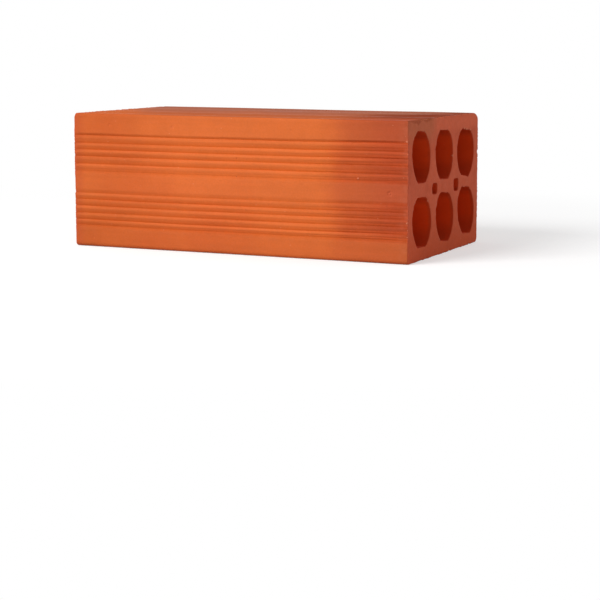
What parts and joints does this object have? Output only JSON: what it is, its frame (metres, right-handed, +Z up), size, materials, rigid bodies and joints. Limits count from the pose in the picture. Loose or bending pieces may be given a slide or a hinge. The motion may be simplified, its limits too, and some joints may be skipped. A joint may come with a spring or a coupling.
{
  "type": "hollow clay brick",
  "caption": "Extruded hollow clay brick with holes running its whole length and combed grooves on its faces, for partition and infill walls.",
  "frame": {"origin": "middle of the footprint, on the wide face that the brick lies on", "axes": "+X along the length and the holes, +Y across the width, +Z up through the height"},
  "size_m": [0.24, 0.14, 0.09],
  "materials": {
    "fired_clay": "matte"
  },
  "bodies": {
    "root": {"brick": "fired_clay"}
  },
  "joints": []
}
